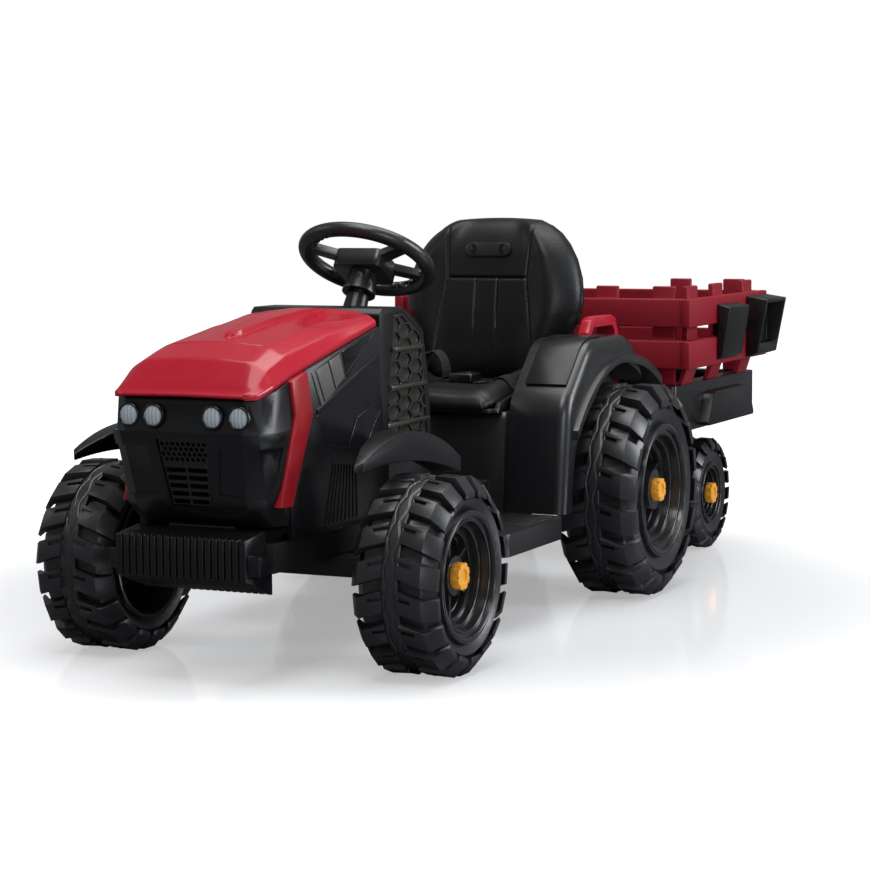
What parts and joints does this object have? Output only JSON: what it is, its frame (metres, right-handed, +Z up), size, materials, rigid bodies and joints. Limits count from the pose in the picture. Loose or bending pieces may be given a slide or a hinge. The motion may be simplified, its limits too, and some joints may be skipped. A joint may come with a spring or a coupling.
{
  "type": "ride on tractor toy",
  "caption": "Ride-on toy tractor with lugged wheels that steer from the wheel through a tie rod, a padded seat, and a slatted trailer on a hitch pin.",
  "frame": {"origin": "bottom centre of the whole set's bounding box, on the floor", "axes": "+Z up, +Y from the tractor's nose back to the trailer, +X to the tractor's left"},
  "size_m": [0.524, 1.34, 0.4907],
  "materials": {
    "red_gloss": "gloss red moulded skin",
    "red_trim": "satin red strip",
    "red_matte": "matte red board",
    "black_plastic": "satin black moulded plastic",
    "black_gloss": "glossier black plastic",
    "tyre_black": "hard black plastic tyre",
    "cap_yellow": "orange-yellow hub cap",
    "lens_clear": "clear lamp lens",
    "steel_black": "black painted steel",
    "steel_bare": "plain steel",
    "seat_leather": "black leather-look pad",
    "belt_web": "black webbing",
    "case_grey": "grey case"
  },
  "bodies": {
    "chassis": {"chassis_frame": "steel_black", "body_tub": "black_plastic", "hood": "red_gloss", "front_shell": "black_plastic", "grille_insert": "black_gloss", "headlight_lenses": "lens_clear", "side_panel_left": "black_plastic", "side_panel_right": "black_plastic", "trim_strips": "red_trim", "dash_cowl": "black_plastic", "honeycomb_panels": "black_gloss", "front_weights": "black_plastic", "front_fender_left": "black_plastic", "front_fender_right": "black_plastic", "rear_fender_left": "black_plastic", "rear_fender_right": "black_plastic", "fender_covers": "black_plastic", "grab_handles": "red_gloss", "seat_shell": "black_plastic", "seat_cushion": "seat_leather", "seat_back": "seat_leather", "seat_belt": "belt_web", "front_axle_beam": "steel_black", "rear_axle": "steel_bare", "drive_gearboxes": "case_grey", "battery": "case_grey", "hitch_pin": "steel_bare"},
    "steering": {"steering_wheel": "black_plastic", "steering_shaft": "steel_bare"},
    "horn": {"horn_button": "black_gloss"},
    "knuckle_l": {"knuckle_left": "steel_black"},
    "knuckle_r": {"knuckle_right": "steel_black"},
    "tie_link": {"tie_rod": "steel_bare"},
    "front_wheel_l": {"front_tyre_left": "tyre_black", "front_rim_left": "black_gloss", "front_cap_left": "cap_yellow"},
    "front_wheel_r": {"front_tyre_right": "tyre_black", "front_rim_right": "black_gloss", "front_cap_right": "cap_yellow"},
    "rear_wheel_l": {"rear_tyre_left": "tyre_black", "rear_rim_left": "black_gloss", "rear_cap_left": "cap_yellow"},
    "rear_wheel_r": {"rear_tyre_right": "tyre_black", "rear_rim_right": "black_gloss", "rear_cap_right": "cap_yellow"},
    "pedal": {"accelerator_pedal": "black_plastic"},
    "rocker": {"direction_switch": "red_gloss"},
    "trailer": {"trailer_bed": "black_plastic", "trailer_side_boards": "red_matte", "trailer_end_boards": "red_matte", "trailer_axle": "steel_black", "drawbar": "steel_black", "tool_brackets": "black_plastic"},
    "trailer_wheel_l": {"trailer_tyre_left": "tyre_black", "trailer_rim_left": "black_gloss", "trailer_cap_left": "cap_yellow"},
    "trailer_wheel_r": {"trailer_tyre_right": "tyre_black", "trailer_rim_right": "black_gloss", "trailer_cap_right": "cap_yellow"}
  },
  "joints": [
    {"name": "steering_turn", "type": "hinge", "parent": "chassis", "child": "steering", "pos_m": [0, -0.226, 0.444], "axis": [0, 0.5, 0.866], "range_deg": [-40, 40]},
    {"name": "horn_press", "type": "slide", "parent": "steering", "child": "horn", "axis": [0, 0.5, 0.866], "range_m": [-0.003, 0], "stiffness_N_per_m": 400},
    {"name": "knuckle_left_steer", "type": "hinge", "parent": "chassis", "child": "knuckle_l", "pos_m": [0.132, -0.475, 0.109], "axis": [0, 0, 1], "range_deg": [-20.5, 20.5]},
    {"name": "knuckle_right_steer", "type": "hinge", "parent": "chassis", "child": "knuckle_r", "pos_m": [-0.132, -0.475, 0.109], "axis": [0, 0, 1], "range_deg": [-20.5, 20.5]},
    {"name": "tie_rod_shift", "type": "slide", "parent": "chassis", "child": "tie_link", "axis": [1, 0, 0], "range_m": [-0.0156, 0.0156]},
    {"name": "front_left_roll", "type": "hinge", "parent": "knuckle_l", "child": "front_wheel_l", "pos_m": [0.2, -0.475, 0.109], "axis": [1, 0, 0], "continuous": true},
    {"name": "front_right_roll", "type": "hinge", "parent": "knuckle_r", "child": "front_wheel_r", "pos_m": [-0.2, -0.475, 0.109], "axis": [1, 0, 0], "continuous": true},
    {"name": "rear_left_roll", "type": "hinge", "parent": "chassis", "child": "rear_wheel_l", "pos_m": [0.208, 0.119, 0.137], "axis": [1, 0, 0], "continuous": true},
    {"name": "rear_right_roll", "type": "hinge", "parent": "chassis", "child": "rear_wheel_r", "pos_m": [-0.208, 0.119, 0.137], "axis": [1, 0, 0], "continuous": true},
    {"name": "pedal_press", "type": "hinge", "parent": "chassis", "child": "pedal", "pos_m": [-0.15, -0.179, 0.131], "axis": [1, 0, 0], "range_deg": [0, 12], "stiffness_Nm_per_rad": 3, "springref_deg": -5.73},
    {"name": "direction_rock", "type": "hinge", "parent": "chassis", "child": "rocker", "pos_m": [-0.052, -0.27991, 0.37363], "axis": [1, 0, 0], "range_deg": [-10, 10]},
    {"name": "trailer_yaw", "type": "hinge", "parent": "chassis", "child": "trailer", "pos_m": [0, 0.258, 0.142], "axis": [0, 0, 1], "range_deg": [-12, 12]},
    {"name": "trailer_left_roll", "type": "hinge", "parent": "trailer", "child": "trailer_wheel_l", "pos_m": [0.156, 0.542, 0.081], "axis": [1, 0, 0], "continuous": true},
    {"name": "trailer_right_roll", "type": "hinge", "parent": "trailer", "child": "trailer_wheel_r", "pos_m": [-0.156, 0.542, 0.081], "axis": [1, 0, 0], "continuous": true}
  ],
  "couplings": [
    {"joint": "knuckle_left_steer", "follows": "steering_turn", "ratio": 0.5},
    {"joint": "knuckle_right_steer", "follows": "steering_turn", "ratio": 0.5},
    {"joint": "tie_rod_shift", "follows": "steering_turn", "m_per_rad": -0.02205}
  ]
}
